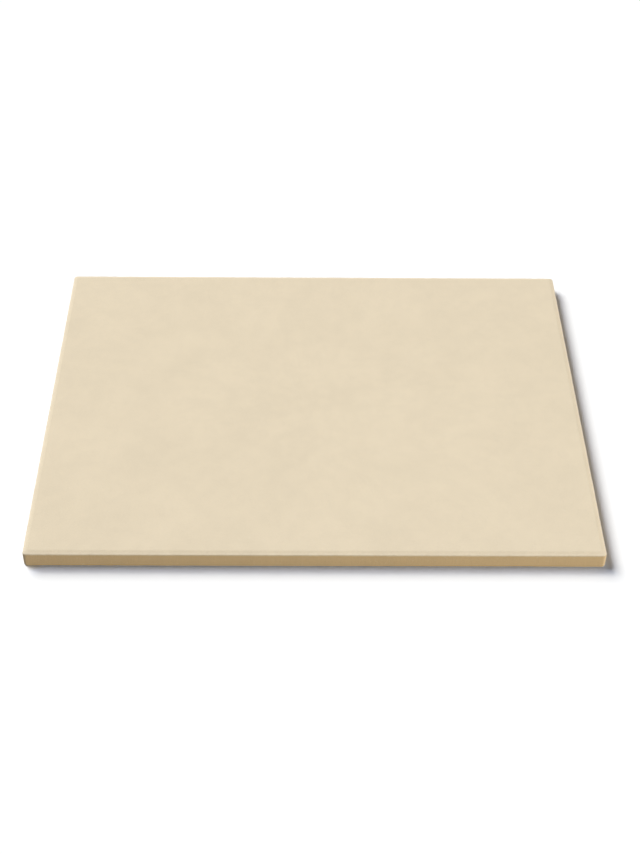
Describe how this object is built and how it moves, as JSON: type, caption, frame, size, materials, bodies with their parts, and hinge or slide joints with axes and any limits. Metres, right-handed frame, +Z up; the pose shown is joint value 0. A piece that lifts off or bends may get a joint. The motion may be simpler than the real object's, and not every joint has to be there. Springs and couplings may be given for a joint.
{
  "type": "pizza stone",
  "caption": "Plain rectangular baking slab of fired ceramic with a low bevelled rim and a flat underside.",
  "frame": {"origin": "centre of the underside, on the surface that the slab lies on", "axes": "+X along the long side, +Y to the back, +Z up out of the baking face"},
  "size_m": [0.38, 0.3, 0.012],
  "materials": {
    "fired_cordierite": "matte"
  },
  "bodies": {
    "root": {"stone_slab": "fired_cordierite"}
  },
  "joints": []
}
